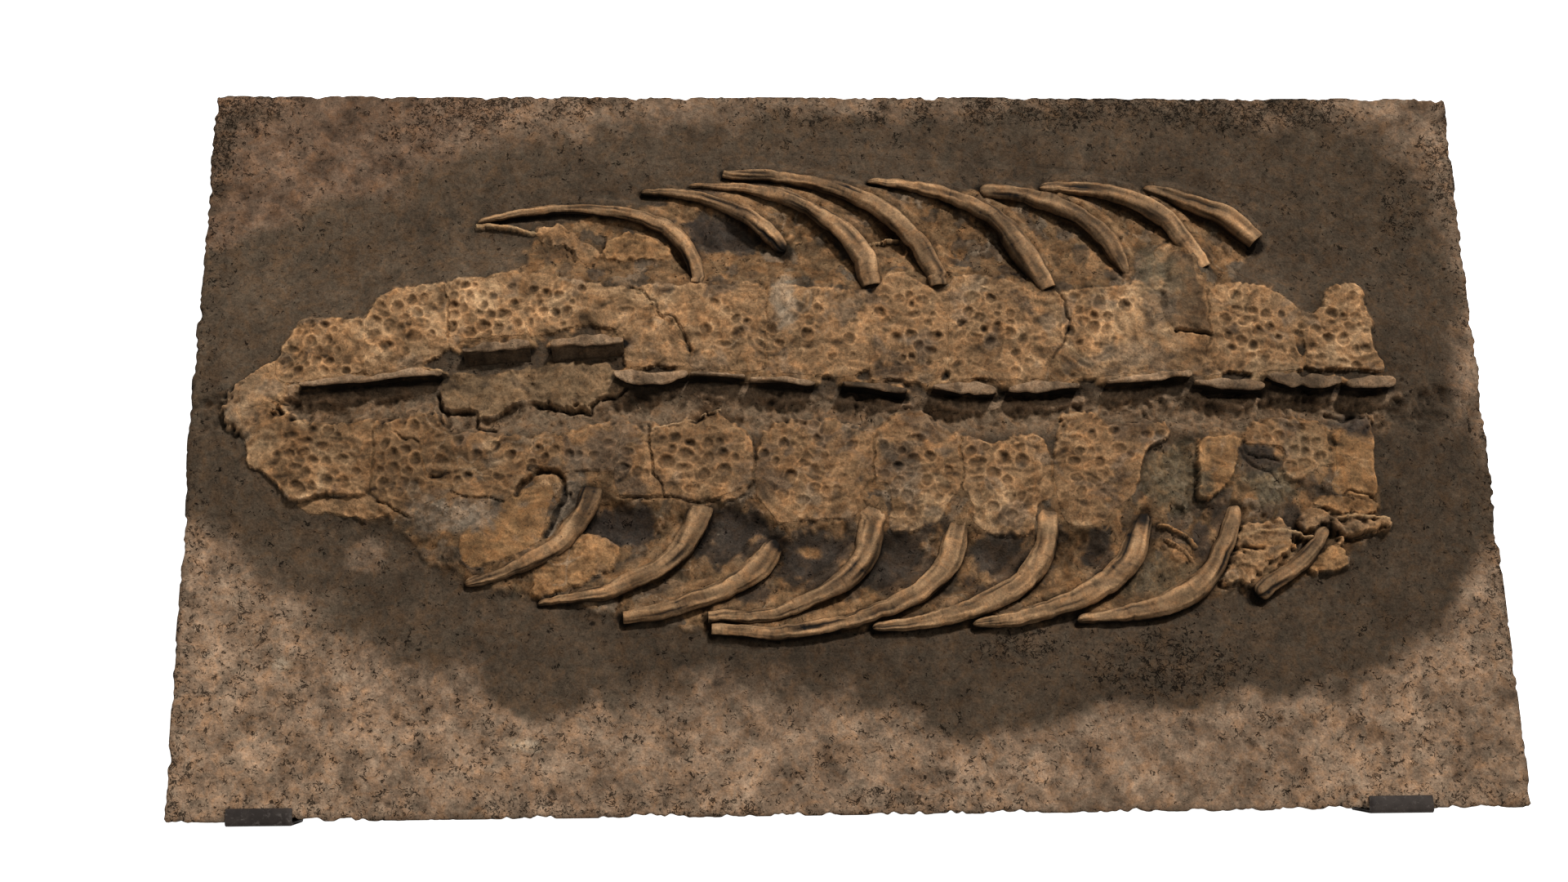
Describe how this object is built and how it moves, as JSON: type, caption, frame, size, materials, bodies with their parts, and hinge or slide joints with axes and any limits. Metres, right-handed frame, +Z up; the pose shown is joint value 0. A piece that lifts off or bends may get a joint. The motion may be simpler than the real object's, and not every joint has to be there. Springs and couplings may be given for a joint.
{
  "type": "steneosaurus fossil",
  "caption": "Rectangular stone slab holding the fossil body of a marine crocodile: pitted back plates, neural spines and curved ribs in relief.",
  "frame": {"origin": "centre of the bounding box's bottom face, under the slab", "axes": "+X along the body towards the head end of the trunk, +Y across the slab, +Z up out of the slab's face"},
  "size_m": [0.8, 0.466, 0.056],
  "materials": {
    "matrix": "prepared limestone matrix, dull, with tan weathered patches",
    "bone": "fossil bone, tan to orange brown, satin on its ridges and dull in its pits",
    "clip": "dark satin paint, slightly worn"
  },
  "bodies": {
    "root": {"slab": "matrix", "clip_left": "clip", "clip_right": "clip", "scute_upper_1": "bone", "scute_upper_2": "bone", "scute_upper_3": "bone", "scute_upper_4": "bone", "scute_upper_5": "bone", "scute_upper_6": "bone", "scute_upper_7": "bone", "scute_upper_8": "bone", "scute_upper_9": "bone", "scute_upper_10": "bone", "scute_upper_11": "bone", "scute_lower_1": "bone", "scute_lower_2": "bone", "scute_lower_3": "bone", "scute_lower_4": "bone", "scute_lower_5": "bone", "scute_lower_6": "bone", "scute_lower_7": "bone", "scute_lower_8": "bone", "scute_lower_9": "bone", "scute_lower_10": "bone", "scute_lower_11": "bone", "neural_spine_1": "bone", "neural_spine_2": "bone", "neural_spine_3": "bone", "neural_spine_4": "bone", "neural_spine_5": "bone", "neural_spine_6": "bone", "neural_spine_7": "bone", "neural_spine_8": "bone", "neural_spine_9": "bone", "neural_spine_10": "bone", "neural_spine_11": "bone", "neural_spine_12": "bone", "neural_spine_13": "bone", "rib_upper_1": "bone", "rib_upper_2": "bone", "rib_upper_3": "bone", "rib_upper_4": "bone", "rib_upper_5": "bone", "rib_upper_6": "bone", "rib_upper_7": "bone", "rib_upper_8": "bone", "rib_lower_1": "bone", "rib_lower_2": "bone", "rib_lower_3": "bone", "rib_lower_4": "bone", "rib_lower_5": "bone", "rib_lower_6": "bone", "rib_lower_7": "bone", "rib_lower_8": "bone", "rib_lower_9": "bone", "end_plate_left": "bone", "end_lump_left": "bone", "end_plate_lower_right": "bone", "end_plate_right": "bone", "bone_sheet_lower_left": "bone"}
  },
  "joints": []
}
